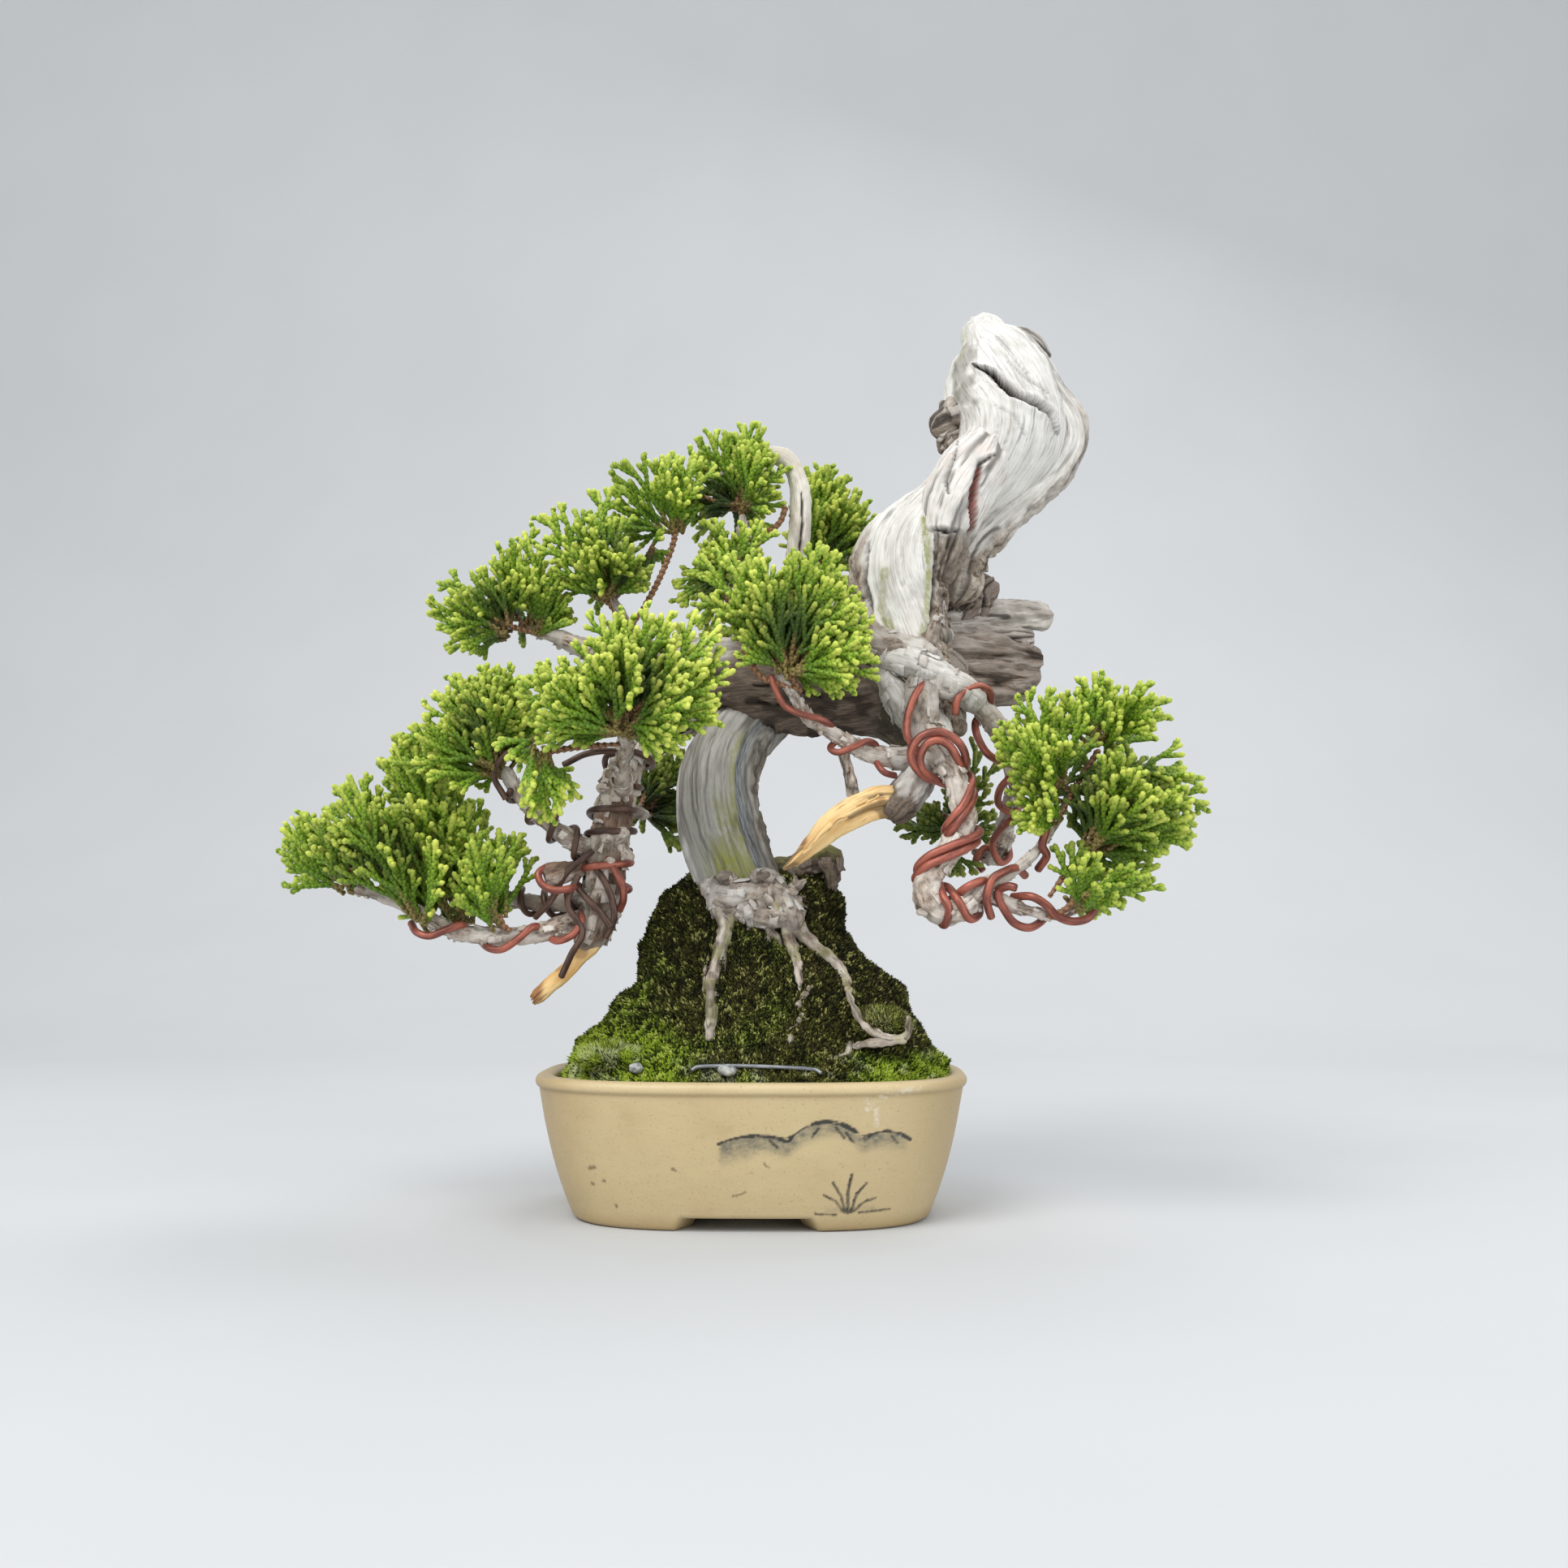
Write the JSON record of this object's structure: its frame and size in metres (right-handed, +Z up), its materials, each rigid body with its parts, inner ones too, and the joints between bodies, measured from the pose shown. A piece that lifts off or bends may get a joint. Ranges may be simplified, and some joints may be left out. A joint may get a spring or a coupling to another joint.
{
  "type": "bonsai tree in a pot",
  "caption": "Small juniper bonsai with a bent, partly bare trunk, wired branches and scale foliage, on a mossed mound of soil in a low ceramic pot.",
  "frame": {"origin": "on the ground under the centre of the pot's foot, which is also under the middle of the whole tree", "axes": "+Z up, -Y towards the front that is shown, +X to the right as seen from the front"},
  "size_m": [0.1714, 0.096, 0.1745],
  "materials": {
    "pot_glaze": null,
    "drain_mesh": "black woven mesh",
    "soil": "damp granular soil",
    "moss": "dry to green moss",
    "deadwood": "silvered, weathered, deeply grained",
    "bark": "flaking grey-brown bark",
    "stripped_wood": "freshly stripped, fibrous",
    "juniper_leaf": "scale foliage with yellow-green tips",
    "wire_copper": "copper-coloured anodised",
    "wire_aged": "brown, dulled by weather",
    "wire_tie": "bare grey",
    "pebble": "matt"
  },
  "bodies": {
    "root": {"pot": "pot_glaze", "drain_mesh_left": "drain_mesh", "drain_mesh_right": "drain_mesh", "soil": "soil", "moss_mound": "moss", "trunk": "deadwood", "root_left": "bark", "root_centre": "bark", "root_right": "bark", "deadwood_fan": "deadwood", "jin_front": "stripped_wood", "jin_crown": "deadwood", "branch_right_front": "bark", "branch_right_riser": "bark", "branch_right_back": "bark", "branch_front_left": "bark", "twig_cut": "bark", "branch_left": "bark", "jin_left": "stripped_wood", "branch_left_low": "bark", "branch_left_mid": "bark", "branch_left_riser": "bark", "branch_left_rear": "bark", "branch_front_riser": "bark", "branch_crown_left": "bark", "branch_crown_mid": "bark", "branch_crown_top": "bark", "branch_crown_back": "bark", "branch_rear": "bark", "wire_right_main": "wire_copper", "wire_right_beside": "wire_copper", "wire_right_back": "wire_copper", "wire_front_left": "wire_copper", "wire_left_red": "wire_copper", "wire_left_brown": "wire_aged", "wire_left_upper": "wire_aged", "wire_left_low": "wire_copper", "wire_left_mid": "wire_aged", "wire_left_riser": "wire_aged", "wire_crown_left": "wire_aged", "wire_tie_down": "wire_tie", "moss_cushion_left": "moss", "moss_cushion_right": "moss", "pebble_left": "pebble", "pebble_middle": "pebble", "pebble_right": "pebble", "foliage_low_left": "juniper_leaf", "foliage_mid_left": "juniper_leaf", "foliage_front_left": "juniper_leaf", "foliage_upper_left": "juniper_leaf", "foliage_upper_mid": "juniper_leaf", "foliage_inner_crown": "juniper_leaf", "foliage_crown": "juniper_leaf", "foliage_crown_back": "juniper_leaf", "foliage_front_centre": "juniper_leaf", "foliage_right": "juniper_leaf", "foliage_right_back": "juniper_leaf", "foliage_left_back": "juniper_leaf", "foliage_rear": "juniper_leaf"}
  },
  "joints": []
}
